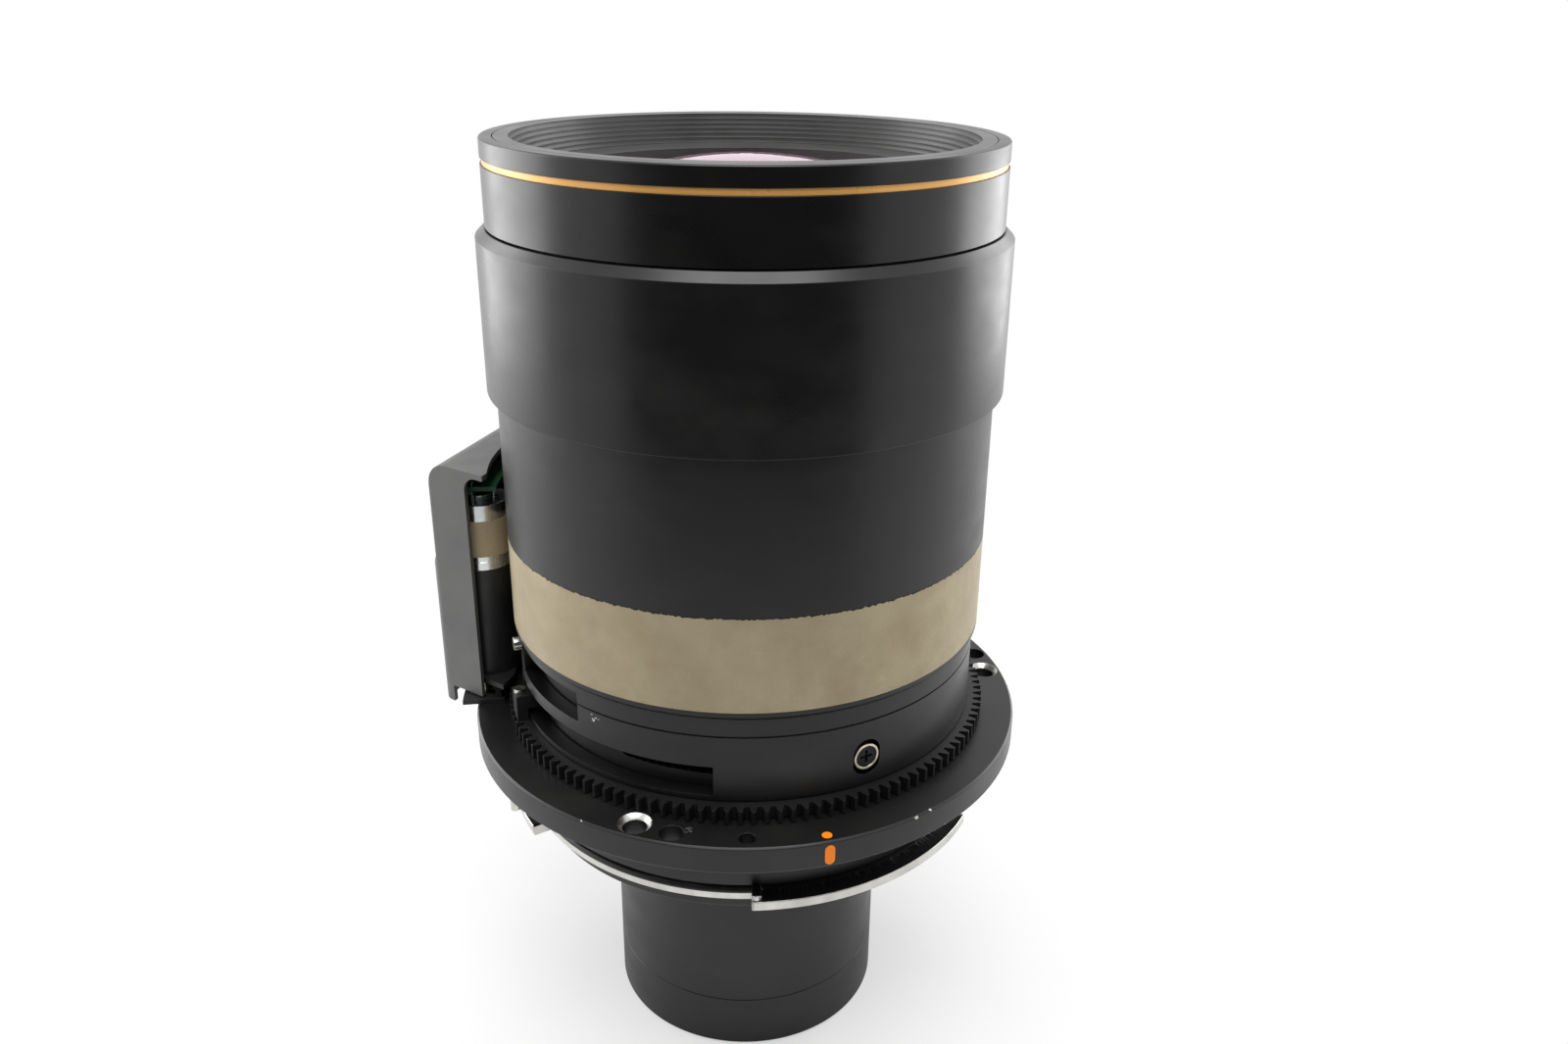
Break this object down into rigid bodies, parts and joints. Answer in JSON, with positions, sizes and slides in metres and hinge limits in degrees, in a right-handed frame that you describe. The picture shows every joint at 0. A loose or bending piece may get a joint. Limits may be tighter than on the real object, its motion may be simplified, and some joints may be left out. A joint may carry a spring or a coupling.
{
  "type": "motorised projection zoom lens",
  "caption": "Motorised zoom lens barrel with a bayonet flange, geared zoom ring, sliding front group and a side cover over its drive motors.",
  "frame": {"origin": "on the optical axis in the plane of the rear face, on which the lens stands", "axes": "+Z along the optical axis towards the front glass, -Y towards the orange index mark's side, -X towards the motor cover"},
  "size_m": [0.1601, 0.15, 0.2468],
  "materials": {
    "satin_black": "satin black finish on aluminium, worn paler on the edges",
    "inner_black": "matt anti-reflection black",
    "gear_black": "moulded black gear plastic",
    "bayonet_metal": "turned aluminium, black on the flats, bare and scuffed on the edge",
    "dark_screws": "blackened steel",
    "bright_screws": "bright steel",
    "index_orange": "filled orange paint",
    "bare_metal_band": "bare bronze-brown metal with fine scratches",
    "cell_metal": "black anodised cells and plates",
    "cam_metal": "black anodised aluminium",
    "lens_glass": "coated optical glass",
    "front_glass": "coated optical glass with a pink reflection",
    "follower_brass": "turned brass",
    "gold_anodised": "polished pale gold",
    "bracket_steel": "black coated sheet steel",
    "gearbox_black": "black moulded gearbox",
    "motor_can": "plated steel can",
    "motor_label": "tan label, left bare",
    "circuit_board": "green board",
    "cover_plastic": "satin black moulded cover"
  },
  "bodies": {
    "housing": {"rear_cell": "satin_black", "rear_port_ring": "inner_black", "rear_element": "lens_glass", "rear_barrel": "satin_black", "relay_element": "lens_glass", "rear_spacer": "inner_black", "seat_ring": "satin_black", "bayonet_plate": "bayonet_metal", "bayonet_screws": "dark_screws", "mount_flange": "satin_black", "index_dot": "index_orange", "index_bar": "index_orange", "stop_peg": "bright_screws", "fixed_barrel": "satin_black", "barrel_screw": "bright_screws", "bare_band": "bare_metal_band", "mid_barrel": "satin_black", "rear_guide_plate": "cell_metal", "front_guide_plate": "cell_metal", "guide_rods": "bright_screws", "drive_bracket": "bracket_steel", "bracket_screws": "bright_screws", "zoom_gearbox": "gearbox_black", "zoom_motor": "motor_can", "zoom_motor_label": "motor_label", "focus_gearbox": "gearbox_black", "focus_motor": "motor_can", "focus_motor_label": "motor_label", "terminal_board": "circuit_board", "motor_cover": "cover_plastic", "cover_screws": "dark_screws"},
    "zoom_ring": {"zoom_gear_ring": "gear_black", "zoom_key": "cam_metal", "key_screw": "bright_screws", "cam_barrel": "cam_metal"},
    "zoom_pinion": {"zoom_pinion": "follower_brass"},
    "compensator_group": {"compensator_cell": "cell_metal", "compensator_element": "lens_glass", "zoom_rollers": "follower_brass", "roller_screws": "dark_screws"},
    "variator_group": {"variator_cell": "cell_metal", "variator_front_element": "lens_glass", "variator_rear_element": "lens_glass", "variator_ring": "inner_black", "variator_rollers": "follower_brass"},
    "focus_ring": {"focus_ring": "cam_metal"},
    "focus_idler": {"focus_idler": "follower_brass"},
    "focus_pinion": {"focus_pinion": "follower_brass"},
    "front_group": {"front_cell": "cell_metal", "focus_rollers": "follower_brass", "second_element": "lens_glass", "front_element": "front_glass", "front_retaining_ring": "inner_black", "outer_barrel": "satin_black", "guide_keys": "follower_brass", "name_band": "satin_black", "gold_ring": "gold_anodised", "front_ring": "satin_black", "baffle_ring": "inner_black"}
  },
  "joints": [
    {"name": "zoom_turn", "type": "hinge", "parent": "housing", "child": "zoom_ring", "pos_m": [0, 0, 0.0973], "axis": [0, 0, 1], "range_deg": [0, 58]},
    {"name": "zoom_pinion_spin", "type": "hinge", "parent": "housing", "child": "zoom_pinion", "pos_m": [-0.07202, 0.00377, 0.0973], "axis": [0, 0, 1], "range_deg": [-540.57, 2]},
    {"name": "compensator_slide", "type": "slide", "parent": "housing", "child": "compensator_group", "axis": [0, 0, 1], "range_m": [-0.00001, 0.00121]},
    {"name": "variator_slide", "type": "slide", "parent": "housing", "child": "variator_group", "axis": [0, 0, 1], "range_m": [-0.0001, 0.0201]},
    {"name": "focus_turn", "type": "hinge", "parent": "housing", "child": "focus_ring", "pos_m": [0, 0, 0.1547], "axis": [0, 0, 1], "range_deg": [-30, 30]},
    {"name": "focus_slide", "type": "slide", "parent": "housing", "child": "front_group", "axis": [0, 0, 1], "range_m": [-0.00301, 0.00301]},
    {"name": "focus_idler_spin", "type": "hinge", "parent": "housing", "child": "focus_idler", "pos_m": [-0.05827, 0.02952, 0.1547], "axis": [0, 0, 1], "range_deg": [-298, 298]},
    {"name": "focus_pinion_spin", "type": "hinge", "parent": "housing", "child": "focus_pinion", "pos_m": [-0.05979, 0.04033, 0.1547], "axis": [0, 0, 1], "range_deg": [-372, 372]}
  ],
  "couplings": [
    {"joint": "zoom_pinion_spin", "follows": "zoom_turn", "ratio": -9.2857},
    {"joint": "compensator_slide", "follows": "zoom_turn", "m_per_rad": 0.0011854},
    {"joint": "variator_slide", "follows": "zoom_turn", "m_per_rad": 0.019757},
    {"joint": "focus_slide", "follows": "focus_turn", "m_per_rad": 0.0057296},
    {"joint": "focus_idler_spin", "follows": "focus_turn", "ratio": -9.8667},
    {"joint": "focus_pinion_spin", "follows": "focus_turn", "ratio": 12.333}
  ]
}
